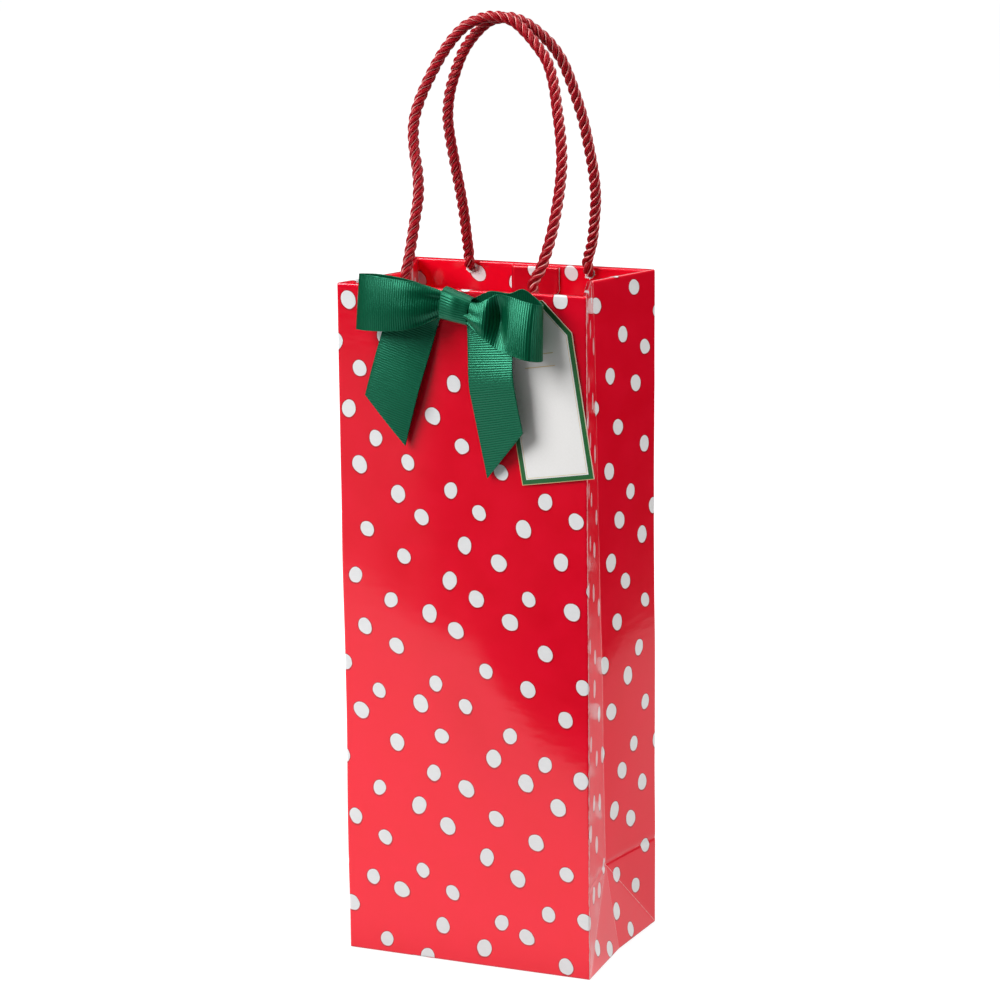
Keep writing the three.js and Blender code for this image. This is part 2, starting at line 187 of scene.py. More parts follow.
DOT_CELL = 21.3  # mean distance between dots, mm
DOT_TURN = 31  # the scatter's grid is turned, so no row of dots follows an edge
DOT_RADII = (3.5, 4.0)  # smallest and largest, mm
DOT_EDGE = 0.1  # half the width of a dot's soft edge, mm
DOT_RIM = (0.15, 0.7)  # where the dark rim around a dot is full, and where it ends, mm


def printed_paper():
    """Gloss red print with a scatter of white egg-shaped dots, lightened to pale pink along its
    folds: partly real scuffing to white paper, partly a painted highlight where the folds catch
    light.
    """
    s = Shader(
        "printed_paper", Coat_Weight=0.85, Coat_Roughness=0.1, Coat_IOR=1.5, Specular_IOR_Level=0.15,
    )
    flat = s.uv()
    cells = s.stretch(flat, (1000 / DOT_CELL,) * 3, DOT_TURN)
    scatter = s.node(
        "ShaderNodeTexVoronoi", {"Vector": cells, "Scale": 1.0, "Randomness": 0.42},
        voronoi_dimensions="2D", feature="F1",
    )
    offset = s.vector("SUBTRACT", cells, scatter.outputs["Position"])
    tilt = s.axis(scatter.outputs["Color"], "X")
    size = s.axis(scatter.outputs["Color"], "Y")
    angle = s.math("MULTIPLY_ADD", tilt, 1.3, math.radians(-DOT_TURN) - 0.95)
    turned = s.node(
        "ShaderNodeVectorRotate", {"Vector": offset, "Angle": angle}, rotation_type="Z_AXIS",
    ).outputs[0]
    egg = s.vector("MULTIPLY", turned, (1.07, 0.94, 1.0))
    lean = s.times(s.axis(turned, "Y"), 0.7)
    wobble = s.minus(s.noise(cells, 3.4, 1.0), 0.5)
    radius = s.times(s.vector("LENGTH", egg, (0, 0, 0)), s.plus(1.0, lean))
    radius = s.plus(radius, s.times(wobble, 0.05))
    edge = s.ramp(size, 0.0, 1.0, *(length / DOT_CELL for length in DOT_RADII))
    outside = s.minus(radius, edge)
    soft = DOT_EDGE / DOT_CELL
    dot = s.ramp(outside, -soft, soft, 1.0, 0.0)
    rim = s.ramp(outside, *(length / DOT_CELL for length in DOT_RIM), 1.0, 0.0)
    rim = s.times(rim, 0.6)

    fibre = s.noise(s.stretch(flat, (260, 700, 1)), 1.0, 4.0, 0.6)
    blotch = s.noise(flat, 55.0, 3.0)
    red = s.mix(blotch, (0.93, 0.0008, 0.016), (1.0, 0.0014, 0.03))
    # The rear hem's lap is painted a darker red: painted shade.
    red = s.mix(s.times(s.value("dark_ink"), 0.5), red, (0.3, 0.0006, 0.006))
    red = s.mix(rim, red, (0.2, 0.002, 0.006))
    white = s.mix(fibre, (0.8, 0.82, 0.83), (0.9, 0.89, 0.9))
    colour = s.mix(dot, red, white)

    # Along the folds the colour turns pale pink: partly real scuffing to white paper, partly a
    # painted highlight where a rounded fold catches light.
    fold = s.value("fold_distance")
    strength = s.value("fold_wear")
    streak = s.noise(s.stretch(flat, (900, 240, 1)), 1.0, 3.0, 0.65)
    grain = s.noise(flat, 2600.0, 2.0, 0.6)
    reach = s.times(s.ramp(streak, 0.3, 0.7, 0.12, 0.42), strength)
    reach = s.plus(reach, s.times(s.minus(grain, 0.5), 0.1))
    worn_and_sheen = s.ramp(s.minus(fold, reach), -0.14, 0.08, 1.0, 0.0)
    worn_and_sheen = s.times(worn_and_sheen, s.ramp(strength, 0.02, 0.3))
    colour = s.mix(s.times(worn_and_sheen, 0.85), colour, (0.9, 0.62, 0.62))

    metallic = s.times(s.minus(1.0, dot), 0.3)
    metallic = s.times(metallic, s.minus(1.0, worn_and_sheen))
    crinkle = s.noise(s.stretch(flat, (95, 210, 1)), 1.0, 3.0, 0.55)
    peel = s.noise(s.stretch(flat, (420, 1100, 1)), 1.0)
    height = s.plus(crinkle, s.times(peel, 0.13))
    normal = s.bump(height, 0.00012, 0.35)
    return s.look(
        Base_Color=colour, Metallic=metallic, Roughness=s.ramp(blotch, 0.3, 0.7, 0.285, 0.335),
        Normal=normal, Coat_Normal=normal,
    )


def plain_paper():
    """The unprinted side and the torn edges: matt white, with fibres."""
    s = Shader("plain_paper", Roughness=0.78)
    place = s.place()
    fibre = s.noise(place, 900.0, 4.0, 0.65)
    cloud = s.noise(place, 40.0, 2.0)
    colour = s.mix(fibre, (0.78, 0.77, 0.75), (0.87, 0.86, 0.85))
    colour = s.mix(s.times(cloud, 0.3), colour, (0.75, 0.74, 0.73))
    return s.look(Base_Color=colour, Normal=s.bump(fibre, 0.00006, 0.6))


YARNS = 9  # yarns around one strand of the rope


def rope_yarn():
    """Satin dark red yarn, twisted, darker in the grooves between yarns as painted shade, with a
    pale pink painted highlight line along one flank of every strand.
    """
    s = Shader("rope_yarn", Specular_IOR_Level=0.6, Specular_Tint=(1.0, 0.32, 0.32))
    flat = s.uv()
    around = s.axis(flat, "X")
    along = s.axis(flat, "Y")
    turn = s.times(around, 2 * math.pi * YARNS)
    phase = s.math("MULTIPLY_ADD", along, 2600.0, turn)
    yarn = s.math("MULTIPLY_ADD", s.math("SINE", phase), 0.5, 0.5)
    hairs = s.noise(s.stretch(flat, (60, 420, 1)), 1.0, 3.0, 0.6)
    # Darker where the yarn's surface is low: painted shade in the grooves between yarns.
    colour = s.mix(yarn, (0.14, 0.0005, 0.004), (0.5, 0.004, 0.015))
    colour = s.mix(s.times(hairs, 0.25), colour, (0.6, 0.006, 0.02))
    # A pale pink line along one flank of each strand, next to a groove: a painted highlight.
    from_highlight_line = s.math("ABSOLUTE", s.minus(around, 0.2))
    highlight_line = s.ramp(from_highlight_line, 0.03, 0.05, 1.0, 0.0)
    colour = s.mix(s.times(highlight_line, 0.92), colour, (1.0, 0.42, 0.4))
    height = s.plus(yarn, s.times(hairs, 0.7))
    return s.look(
        Base_Color=colour, Roughness=s.ramp(yarn, 0.0, 1.0, 0.42, 0.28),
        Normal=s.bump(height, 0.00013, 0.7),
    )


RIB = 1.12  # distance between the ribbon's ribs, mm


def grosgrain():
    """Green ribbed ribbon. The ribs are in the mesh; this adds their sheen, painted shade in the
    grooves between them, and the warp.
    """
    s = Shader("grosgrain", Specular_IOR_Level=1.0, Specular_Tint=(0.14, 1.0, 0.6))
    flat = s.uv()
    along = s.axis(flat, "Y")
    rib = s.math("COSINE", s.times(along, 2 * math.pi / (RIB * MM)))
    rib = s.math("MULTIPLY_ADD", rib, 0.5, 0.5)
    warp = s.noise(s.stretch(flat, (5200, 500, 1)), 1.0)
    cloud = s.noise(flat, 130.0)
    # Darker in the grooves between the mesh's ribs, in step with them: painted shade.
    colour = s.mix(rib, (0.0002, 0.021, 0.009), (0.0007, 0.082, 0.034))
    colour = s.mix(s.times(warp, 0.3), colour, (0.0012, 0.11, 0.047))
    colour = s.mix(s.times(cloud, 0.25), colour, (0.0005, 0.05, 0.021))
    return s.look(
        Base_Color=colour, Roughness=s.ramp(warp, 0.3, 0.7, 0.28, 0.36),
        Normal=s.bump(warp, 0.00008, 0.7),
    )


def speckled(name, grain, dark, light, bump, roughness=None, **inputs):
    """A material whose colour, height and, where a range is given, roughness follow a noise."""
    s = Shader(name, **inputs)
    grain = s.noise(s.place(), *grain)
    if roughness:
        s.look(Roughness=s.ramp(grain, 0.3, 0.7, *roughness))
    return s.look(Base_Color=s.mix(grain, dark, light), Normal=s.bump(grain, *bump))


def gold_foil():
    """Thin pale gold foil lines."""
    s = Shader("gold_foil")
    grain = s.noise(s.place(), 1500.0, 3.0, 0.6)
    return s.look(
        Base_Color=s.mix(grain, (0.72, 0.55, 0.25), (0.9, 0.76, 0.45)),
        Metallic=s.ramp(grain, 0.2, 0.6, 0.35, 0.7),
        Roughness=s.ramp(grain, 0.3, 0.7, 0.3, 0.45),
    )


def grey_board():
    """Uncoated recycled card."""
    s = Shader("grey_board", Roughness=0.85)
    place = s.place()
    fibre = s.noise(place, 700.0, 5.0, 0.7)
    fleck = s.ramp(s.noise(place, 1600.0, 1.0), 0.68, 0.74)
    colour = s.mix(fibre, (0.6, 0.58, 0.53), (0.78, 0.76, 0.71))
    colour = s.mix(s.times(fleck, 0.5), colour, (0.33, 0.3, 0.26))
    return s.look(Base_Color=colour, Normal=s.bump(fibre, 0.0001, 0.7))


PRINT = printed_paper()
PLAIN = plain_paper()
ROPE_YARN = rope_yarn()
GROSGRAIN = grosgrain()
GOLD_FOIL = gold_foil()
GREY_BOARD = grey_board()
CARD_WHITE = speckled(
    "card_white", (1300.0, 4.0, 0.6), (0.86, 0.85, 0.83), (0.93, 0.92, 0.91), (0.00004, 0.5),
    Roughness=0.55,
)
TAG_GREEN = speckled(
    "tag_green", (700.0, 3.0, 0.6), (0.0035, 0.1, 0.018), (0.006, 0.14, 0.028), (0.00003, 0.4),
    (0.38, 0.5), Coat_Weight=0.3, Coat_Roughness=0.3,
)
WHITE_PLASTIC = speckled(
    "white_plastic", (300.0,), (0.8, 0.8, 0.79), (0.88, 0.88, 0.87), (0.00005, 0.4),
    (0.28, 0.4), IOR=1.49, Subsurface_Weight=0.1,
)
CLEAR_GLUE = speckled(
    "clear_glue", (420.0, 3.0), (0.78, 0.73, 0.6), (0.88, 0.85, 0.76), (0.0002, 0.6),
    (0.2, 0.4), IOR=1.48, Subsurface_Weight=0.3,
)

# ---- Meshes ----


def make_piece(name, points, faces, materials, kinds=None, corner_uvs=None, values=None):
    """A mesh object from points in millimetres, with flat-sheet coordinates in metres. kinds
    says which material each face has."""
    mesh = bpy.data.meshes.new(name)
    mesh.from_pydata((np.asarray(points, float) * MM).tolist(), [], faces)
    layer = mesh.uv_layers.new(name="flat", do_init=False)
    if corner_uvs:
        layer.data.foreach_set("uv", (np.asarray(corner_uvs, float) * MM).ravel())
    for material in materials:
        mesh.materials.append(material)
    mesh.polygons.foreach_set("material_index", kinds or [0] * len(faces))
    mesh.polygons.foreach_set("use_smooth", [True] * len(faces))
    for key, numbers in (values or {}).items():
        attribute = mesh.attributes.new(key, "FLOAT", "POINT")
        attribute.data.foreach_set("value", np.asarray(numbers, np.float32))
    mesh.update()
    piece = bpy.data.objects.new(name, mesh)
    bpy.context.collection.objects.link(piece)
    return piece


def grid_normals(grid, closed):
    """Unit normals of a grid of points: along the rows crossed with up the columns."""
    along = np.gradient(grid, axis=1)
    if closed:
        along = (np.roll(grid, -1, axis=1) - np.roll(grid, 1, axis=1)) / 2
    up = np.gradient(grid, axis=0)
    normals = np.cross(along, up)
    length = np.linalg.norm(normals, axis=2, keepdims=True)
    return normals / np.maximum(length, 1e-9)


class Layers:
    """Collects sheets of even thickness into one mesh."""

    def __init__(self):
        self.points = []
        self.faces = []
        self.uvs = []
        self.sides = []
        self.values = {}

    def add(self, grid, flat, thickness, closed=False, split=None, relief=0.0, values=None):
        """grid is rows of points and flat their place on the flat sheet. The outer side is
        where the normals point. split(row, column) gives the corner from which a face is cut
        in two, or None."""
        rows, columns = grid.shape[:2]
        normals = grid_normals(grid, closed)
        half = np.broadcast_to(thickness / 2 + relief, (rows, columns))[..., None]
        base = len(self.points)
        count = rows * columns
        self.points += (grid + normals * half).reshape(-1, 3).tolist()
        self.points += (grid - normals * half).reshape(-1, 3).tolist()
        spans = columns if closed else columns - 1

        def put(corners, side):
            self.faces.append([
                base + i * columns + j % columns + (count if inner else 0)
                for i, j, inner in corners
            ])
            self.uvs += [flat[i, j] for i, j, _ in corners]
            self.sides.append(side)

        def rim(a, b):
            put([(*a, False), (*b, False), (*b, True), (*a, True)], 1)

        for i in range(rows - 1):
            for j in range(spans):
                square = [(i, j), (i, j + 1), (i + 1, j + 1), (i + 1, j)]
                shapes = [square]
                cut = split(i, j) if split else None
                if cut is not None:
                    a, b, c, d = square[cut:] + square[:cut]
                    shapes = [[a, b, c], [a, c, d]]
                for shape in shapes:
                    put([(a, b, False) for a, b in shape], 0)
                    put([(a, b, True) for a, b in reversed(shape)], 1)
        for j in range(spans):
            rim((0, j + 1), (0, j))
            rim((rows - 1, j), (rows - 1, j + 1))
        if not closed:
            for i in range(rows - 1):
                rim((i, 0), (i + 1, 0))
                rim((i + 1, columns - 1), (i, columns - 1))
        values = values or {}
        for key in sorted({*self.values, *values}):
            kept = self.values.setdefault(key, [0.0] * base)
            numbers = values.get(key, np.zeros((rows, columns)))
            kept += np.ravel(numbers).tolist() * 2

    def piece(self, name, materials):
        sides = [min(side, len(materials) - 1) for side in self.sides]
        return make_piece(name, self.points, self.faces, materials, sides, self.uvs, self.values)


SPLINE_SPLIT = 24  # straight bits between two stations


def spline(stations, step):
    """Points along a smooth curve through stations (rows of numbers), step apart in the
    length measured over the first three numbers."""
    stations = np.asarray(stations, float)
    before = 2 * stations[0] - stations[1]
    after = 2 * stations[-1] - stations[-2]
    padded = np.vstack([before, stations, after])
    fine = []
    for k in range(len(stations) - 1):
        a, b, c, d = padded[k:k + 4]
        for t in np.linspace(0, 1, SPLINE_SPLIT, endpoint=False):
            fine.append(0.5 * (
                2 * b + (c - a) * t + (2 * a - 5 * b + 4 * c - d) * t ** 2
                + (3 * b - a - 3 * c + d) * t ** 3
            ))
    fine.append(stations[-1])
    fine = np.array(fine)
    lengths = np.linalg.norm(np.diff(fine[:, :3], axis=0), axis=1)
    total = np.concatenate([[0], np.cumsum(lengths)])
    count = max(2, round(total[-1] / step))
    at = np.linspace(0, total[-1], count + 1)
    return np.stack([np.interp(at, total, column) for column in fine.T], axis=1), at


# ---- The rope handles ----

ROPE_LAY = 13.6  # one full turn of a strand
STRAND_RADIUS = 1.27
HELIX_RADIUS = 1.47  # from the rope's middle to a strand's middle
ROPE_STEP = 0.62  # between rings of points along the rope
SLIM = 0.52  # a rope's thickness inside its hole, as a part of the full one
SLIM_LENGTH = 3.6  # over which it thickens
HINGE_DEPTH = 38.2
EXIT_HEIGHT = 326.5
EXIT_DEPTH = HALF_DEPTH - HEM_INSET - PAPER / 2

FRONT_ROUTE = [
    (-30.3, -38.2, 334), (-29.6, -34.3, 345), (-28.9, -30, 359), (-28.5, -26.5, 370),
    (-30, -23.5, 381), (-33, -20.4, 391), (-34.6, -17.3, 402), (-33.3, -14.2, 412),
    (-29, -10.7, 424), (-22.5, -6.9, 437), (-14.4, -4.2, 447), (-6.3, -3.1, 451.3),
    (1.4, -3.1, 452.7), (10, -3.1, 451), (17, -4.2, 446.2), (24, -6.1, 439.6),
    (30, -8.3, 432.5), (34.2, -11.1, 422.6), (37.1, -14.3, 411.7), (40, -17.7, 400.5),
    (42, -21, 389.5), (42.5, -24.3, 378.3), (41.8, -28, 365.5), (40.3, -31.5, 353.5),
    (37.5, -35.6, 341), (34.5, -38.2, 334),
]

REAR_ROUTE = [
    (-31.5, 38.2, 334), (-31, 35, 342), (-30.8, 32, 352), (-31, 28.6, 363.5),
    (-31.6, 25.3, 374.5), (-32.3, 22, 386), (-32.6, 19, 396), (-32, 16.5, 404),
    (-29.5, 13.5, 414.5), (-25.5, 10.8, 424), (-21, 8.1, 432.6), (-16, 6.1, 439.5),
    (-10, 4.3, 445.5), (-3.7, 3.3, 450), (4, 3.1, 451.8), (9.5, 3.1, 451.2),
    (15, 3.5, 449), (21, 4.6, 444.5), (25.5, 6, 440), (30, 8, 433),
    (33, 10.5, 424.5), (35.5, 13.7, 414), (37.5, 16.7, 403.8), (38.8, 20.5, 391),
    (39.7, 24.5, 377.5), (39.3, 28, 365.5), (37.5, 31, 355), (34.8, 34.5, 343),
    (31, 38.2, 334),
]


def rope_ends(side, x):
    """From inside the punched hole up to the first point of the route."""
    return [
        (x, side * (EXIT_DEPTH + 0.6), EXIT_HEIGHT - 0.2),
        (x, side * (EXIT_DEPTH - 1.3), EXIT_HEIGHT + 0.9),
        (x, side * (HINGE_DEPTH + 0.3), EXIT_HEIGHT + 3.7),
    ]


def make_rope(name, side, route):
    """Three strands laid up around the route, thinner where they pass the punched holes."""
    first = rope_ends(side, route[0][0])
    last = rope_ends(side, route[-1][0])[::-1]
    line, at = spline(first + route + last, ROPE_STEP)
    tangents = np.gradient(line, axis=0)
    tangents /= np.linalg.norm(tangents, axis=1, keepdims=True)
    across = np.array([1.0, 0.0, 0.0])
    normals = []
    for tangent in tangents:
        across = across - tangent * across.dot(tangent)
        across /= np.linalg.norm(across)
        normals.append(across)
    normals = np.array(normals)
    binormals = np.cross(tangents, normals)
    from_end = np.minimum(at, at[-1] - at)
    slim = SLIM + (1 - SLIM) * np.clip(from_end / SLIM_LENGTH, 0, 1) ** 0.7
    sides = 14
    points = []
    faces = []
    uvs = []
    for strand in range(3):
        turn = 2 * math.pi * (at / ROPE_LAY + strand / 3)
        outward = normals * np.cos(turn)[:, None] + binormals * np.sin(turn)[:, None]
        middle = line + outward * (slim * HELIX_RADIUS)[:, None]
        run = np.gradient(middle, axis=0)
        run /= np.linalg.norm(run, axis=1, keepdims=True)
        side_way = np.cross(run, outward)
        side_way /= np.linalg.norm(side_way, axis=1, keepdims=True)
        base = len(points)
        for i in range(len(line)):
            for k in range(sides):
                a = 2 * math.pi * k / sides
                ring = math.cos(a) * outward[i] + math.sin(a) * side_way[i]
                points.append(middle[i] + ring * slim[i] * STRAND_RADIUS)
        for i, (low, high) in enumerate(zip(at[:-1], at[1:])):
            b = base + i * sides
            for k in range(sides):
                n = (k + 1) % sides
                faces.append([b + k, b + n, b + sides + n, b + sides + k])
                left = 1000 * k / sides
                right = 1000 * (k + 1) / sides
                uvs += [(left, low), (right, low), (right, high), (left, high)]
        for ring, order in ((0, -1), (len(line) - 1, 1)):
            cap = [base + ring * sides + k for k in range(sides)][::order]
            faces.append(cap)
            uvs += [(500, at[ring])] * sides
    piece = make_piece(name, points, faces, [ROPE_YARN], corner_uvs=uvs)
    handle = name.replace("_rope", "_handle")
    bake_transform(piece)
    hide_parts(handle, handle + "_root_left", handle + "_root_right")


make_rope("front_rope", -1, FRONT_ROUTE)
make_rope("rear_rope", 1, REAR_ROUTE)

# ---- The paper bag ----

GUSSET_HALF = 46  # flat width of half a gusset
# The sheet starts and ends at the rear left corner, under the glued seam.
WALLS = [
    ("left_rear", GUSSET_HALF), ("left_front", GUSSET_HALF), ("front", WIDTH),
    ("right_front", GUSSET_HALF), ("right_rear", GUSSET_HALF), ("rear", WIDTH),
]
WALL_STARTS = np.cumsum([0] + [width for _, width in WALLS])
GIRTH = WALL_STARTS[-1]
# How strongly each wall's starting fold is lightened: partly real scuffing, partly a painted
# highlight where the fold catches light.
FOLD_WEAR_AND_SHEEN = [0.3, 0.25, 0.5, 0.9, 0.3, 0.45]  # at the start of each wall
FAR_FROM_FOLD = 6.0  # neither scuffing nor painted highlight reaches so far from a fold

# The top's section: depth from the outer face, and height, over the fold and down inside.
TOP_SECTION = [
    (SKIN, 322), (SKIN, 325), (SKIN, 327.5), (SKIN, 329.0), (0.26, 329.5), (0.5, 329.78),
    (0.9, 329.82), (1.6, 329.8), (2.3, 329.78), (2.7, 329.66), (2.93, 329.35), (HEM_INSET, 328.8),
    (HEM_INSET, 327), (HEM_INSET, 325), (HEM_INSET, 322),
]


def push_in(across, z):
    """How far a gusset is pushed in. across is 0 at its middle crease and 1 at its edge."""
    above = APEX_PUSH + (TOP_PUSH - APEX_PUSH) * (z - APEX_HEIGHT) / (HEIGHT - APEX_HEIGHT)
    edge_height = APEX_HEIGHT + (HALF_DEPTH - APEX_HEIGHT) * across
    upper = np.where(z > edge_height, above, APEX_PUSH) * (1 - across)
    upper = upper + 0.5 * np.exp(-((z - edge_height) / 1.1) ** 2) * (across > 0.001)
    diagonal = APEX_HEIGHT * (1 - across)
    lower = BASE_PUSH * (1 - across) + (APEX_PUSH - BASE_PUSH) * z / APEX_HEIGHT
    return np.where(z > diagonal, upper, lower)


def fill_out(name, part, z):
    """How far a wall swells out of its plane, in mm: filled below, held flat at the top."""
    arch = np.sin(math.pi * part)
    if name == "front":
        low = np.sin(math.pi * np.clip(z / 225, 0, 1)) ** 1.2
        return arch * (1.5 * low + 0.25)
    if name == "rear":
        return arch * 1.6 * np.sin(math.pi * np.clip(z / 300, 0, 1))
    height = np.sin(math.pi * np.clip((z - 40) / 300, 0, 1))
    return arch * 0.75 * height * (1 if name.endswith("rear") else -0.6)


def wall_point(s, inset, z):
    """Where a point of the sheet is: s along the girth, inset from the outer face, height z."""
    s = np.mod(s, GIRTH)
    point = np.zeros(np.broadcast(s, z).shape + (3,))
    edge_x = HALF_WIDTH - inset
    edge_y = HALF_DEPTH - inset
    for start, (name, width) in zip(WALL_STARTS, WALLS):
        inside = (s >= start) & (s < start + width)
        part = np.clip((s - start) / width, 0, 1)
        out = fill_out(name, part, z)
        if name in ("front", "rear"):
            side = -1 if name == "front" else 1
            x = -side * (2 * part - 1) * edge_x
            y = side * (edge_y + out)
        else:
            side = 1 if name.startswith("right") else -1
            half = -1 if name.endswith("front") else 1
            to_middle = (side == 1) == (half == -1)
            across = 1 - part if to_middle else part
            x = side * (edge_x - push_in(across, z) + out)
            y = half * across * edge_y
        place = np.stack(np.broadcast_arrays(x, y, z), axis=-1)
        point = np.where(inside[..., None], place, point)
    return point


def crumple(grid):
    """Small soft waves, the same for layers that lie on each other."""
    moved = grid.copy()
    for index in np.ndindex(grid.shape[:2]):
        x, y, z = grid[index]
        calm = min(1.0, max(0.12, z / 40)) * (0.55 if z > 270 else 1.0)
        wide = noise.noise(Vector((x / 62, y / 62, z / 85 + 3)))
        near = noise.noise(Vector((x / 24 + 9, y / 24, z / 30)))
        shift = (0.6 * wide + 0.16 * near) * calm
        flat = math.hypot(x, y)
        moved[index] = (x + shift * x / flat, y + shift * y / flat, z)
    return moved


def steps_across(width, middle_step):
    """Distances across a wall, close together next to its two folds."""
    near = 5
    close = np.array([0, 0.45, 0.9, 1.5, 2.6, near])
    count = round((width - 2 * near) / middle_step)
    inner = np.linspace(near, width - near, count + 1)[1:-1]
    return np.concatenate([close, inner, width - close[::-1]])


def make_bag():
    """One folded sheet: walls, gussets, turned-in top and base flaps."""
    layers = Layers()
    columns = []
    fold_wear = []
    for k, (_, width) in enumerate(WALLS):
        steps = steps_across(width, 3.4 if width == WIDTH else 3.0)[:-1]
        columns.append(WALL_STARTS[k] + steps)
        after = FOLD_WEAR_AND_SHEEN[(k + 1) % len(WALLS)]
        fold_wear.append(np.where(steps < width / 2, FOLD_WEAR_AND_SHEEN[k], after))
    s = np.concatenate(columns)
    side_wear_and_sheen = np.concatenate(fold_wear)
    # Rows up the foot are spaced like the gussets' columns, so that the slanting creases
    # pass through the corners of its squares.
    foot = APEX_HEIGHT * steps_across(GUSSET_HALF, 3.0) / GUSSET_HALF
    foot[0] = 0.5
    even_top = 318
    profile = [(SKIN, z) for z in foot]
    profile += [(SKIN, z) for z in (43.5, 44, HALF_DEPTH, 45.2, 46, 47.5)]
    profile += [(SKIN, z) for z in np.linspace(50, even_top, 61)]
    profile += TOP_SECTION
    profile += [(HEM_INSET, z) for z in np.linspace(even_top, HEIGHT - HEM, 9)]
    profile = np.array(profile)
    inset = profile[:, :1]
    height = profile[:, 1:]
    along = np.concatenate([[0], np.cumsum(np.linalg.norm(np.diff(profile, axis=0), axis=1))])
    along += profile[0, 1]
    fold_top = along[np.argmax(height)]

    # The folds are rounded: each point is the mean of the places a little way around it.
    shifts = (-0.6, -0.35, 0, 0.35, 0.6)
    lifts = (-0.45, 0, 0.45)
    grid = np.zeros((len(profile), len(s), 3))
    for shift in shifts:
        for lift in lifts:
            z = np.maximum(height + np.where(height < 60, lift, 0), 0.3)
            grid += wall_point(s[None, :] + shift, inset, z)
    grid /= len(shifts) * len(lifts)
    grid[..., 2] = height
    grid = crumple(grid)

    # How near each point lies to a fold, and how strongly it is lightened there, by real scuffing
    # and by painted highlight.
    to_side = np.min(np.abs(s[:, None] - WALL_STARTS[None, :]), axis=1)
    distance = np.broadcast_to(to_side, grid.shape[:2]).copy()
    wear_and_sheen = np.broadcast_to(side_wear_and_sheen, grid.shape[:2]).copy()

    def fold(nearness, strength):
        nearness = np.broadcast_to(nearness, distance.shape)
        closer = nearness < distance
        distance[closer] = nearness[closer]
        wear_and_sheen[closer] = np.broadcast_to(strength, distance.shape)[closer]

    wall = np.searchsorted(WALL_STARTS, s, side="right") - 1
    to_crease = np.isin(wall, (0, 3))  # gusset halves that run towards the middle crease
    from_crease = np.isin(wall, (1, 4))
    gusset = to_crease | from_crease
    fold(np.abs(along - fold_top)[:, None], np.where(gusset, 0.55, 0.22))
    fold(height, 0.35)
    part = (s - WALL_STARTS[wall]) / np.diff(WALL_STARTS)[wall]
    across = np.where(to_crease, 1 - part, np.where(from_crease, part, 0))
    diagonal = np.abs(height - APEX_HEIGHT * (1 - across)) * 0.7
    fold(np.where(gusset, diagonal, np.inf), 0.4)
    level = np.abs(height - (APEX_HEIGHT + (HALF_DEPTH - APEX_HEIGHT) * across))
    fold(np.where(np.isin(wall, (0, 4)), level, np.inf), 0.3)
    fold(np.where(wall == 5, np.abs(height - HALF_DEPTH), np.inf), 0.3)
    inner = along[:, None] > fold_top + 2
    distance[inner & (distance > 0.3)] += 0.4
    distance = np.minimum(distance, FAR_FROM_FOLD)

    flat = np.zeros((len(profile), len(s) + 1, 2))
    flat[:, :-1, 0] = s
    flat[:, -1, 0] = GIRTH
    flat[..., 1] = along[:, None]

    def split(i, j):
        if i >= len(foot) - 1 or not gusset[j]:
            return None
        return 1 if from_crease[j] else 0

    layers.add(
        grid, flat, PAPER, closed=True, split=split,
        values={"fold_distance": distance, "fold_wear": wear_and_sheen},
    )
    add_base(layers, grid[0], s)
    add_seam(layers)
    bag = layers.piece("paper_bag", [PRINT, PLAIN])
    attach(bag, "bag")
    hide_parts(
        "front_panel", "rear_panel", "left_gusset_front", "left_gusset_rear",
        "left_gusset_foot", "right_gusset_front", "right_gusset_rear", "right_gusset_foot",
        "base_flap_front", "base_flap_rear", "base_flap_left", "base_flap_right", "side_seam_flap",
    )


def add_flap(layers, edge, inward, section, corner, flat_start):
    """A base flap from a wall's lower edge. section is distance inward and height, and corner
    is how far the flap's two ends slant in over its length."""
    rows = []
    flat = []
    middle = (edge[0] + edge[-1]) / 2
    chord = edge[-1] - edge[0]
    run = chord / np.linalg.norm(chord)
    half = np.linalg.norm(chord) / 2
    along = (edge - middle) @ run
    bow = (edge - middle) - along[:, None] * run
    straight_from = 8  # the edge's bow has faded out here
    reach = section[-1][0]
    length = 0
    before = section[0]
    for distance, z in section:
        length += math.hypot(distance - before[0], z - before[1])
        before = (distance, z)
        narrow = 1 - corner * distance / reach / half
        bowed = bow * (1 - min(1.0, distance / straight_from))
        row = middle + along[:, None] * run * narrow + bowed + np.array(inward) * distance
        row[:, 2] = z
        rows.append(row)
        down = np.full(len(edge), 0.5 - length)
        flat.append(np.stack([flat_start + along * narrow, down], axis=1))
    grid = np.array(rows)[::-1]
    far = np.full(grid.shape[:2], FAR_FROM_FOLD)
    layers.add(grid, np.array(flat)[::-1], PAPER, values={"fold_distance": far})


def add_base(layers, edge, s):
    """Four flaps: the rear one lies lowest, then the front one, then the two side ones."""
    closing = np.vstack([edge, edge[:1]])
    place = np.append(s, GIRTH)

    def pick(first, last):
        return closing[(place >= WALL_STARTS[first]) & (place <= WALL_STARTS[last])]

    rear = [(0, 0.5), (0.08, 0.3)] + [(reach, 0.19) for reach in (0.3, 3, 20, 40, 59.5)]
    front = [(0, 0.5), (0.08, 0.3), (0.3, 0.2), (2, 0.4), (4, 0.66)]
    front += [(reach, 0.72) for reach in (8, 30, 59.5)]
    side = [(0, 0.5), (0.2, 0.34), (0.7, 0.5), (1.6, 1.1), (2.6, 1.28)]
    side += [(reach, 1.3) for reach in (6, 25, 45)]
    add_flap(layers, pick(2, 3), (0, 1, 0), front, 14, 160)
    add_flap(layers, pick(5, 6), (0, -1, 0), rear, 14, 370)
    add_flap(layers, pick(3, 5), (-1, 0, 0), side, 18, 260)
    add_flap(layers, pick(0, 2), (1, 0, 0), side, 18, 46)


